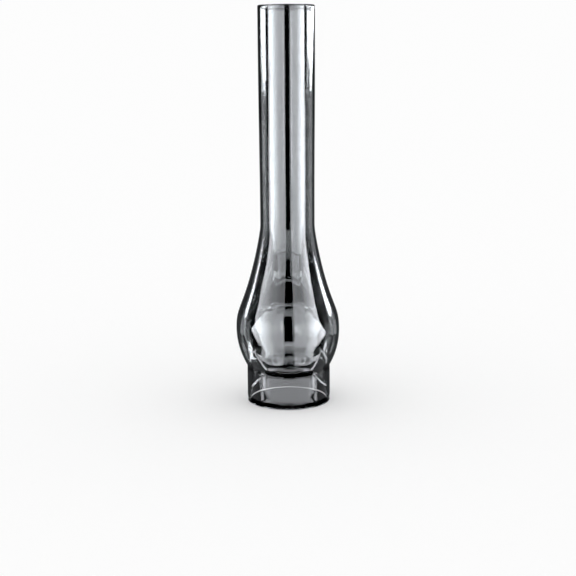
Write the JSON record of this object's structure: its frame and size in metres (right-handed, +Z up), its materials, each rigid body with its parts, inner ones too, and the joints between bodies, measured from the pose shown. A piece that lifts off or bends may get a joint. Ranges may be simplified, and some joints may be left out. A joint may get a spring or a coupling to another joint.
{
  "type": "oil lamp chimney",
  "caption": "Clear blown-glass oil lamp chimney, open at both ends: a straight fitter base, a pinched waist, a bulb round the flame and a long flue that draws the air.",
  "frame": {"origin": "centre of the foot, on the plane that the rim rests on", "axes": "+Z up the chimney's axis, from the foot to the mouth"},
  "size_m": [0.083, 0.083, 0.3175],
  "materials": {
    "clear_glass": "clear blown soda-lime glass with a fire-polished lip"
  },
  "bodies": {
    "root": {"glass_chimney": "clear_glass"}
  },
  "joints": []
}
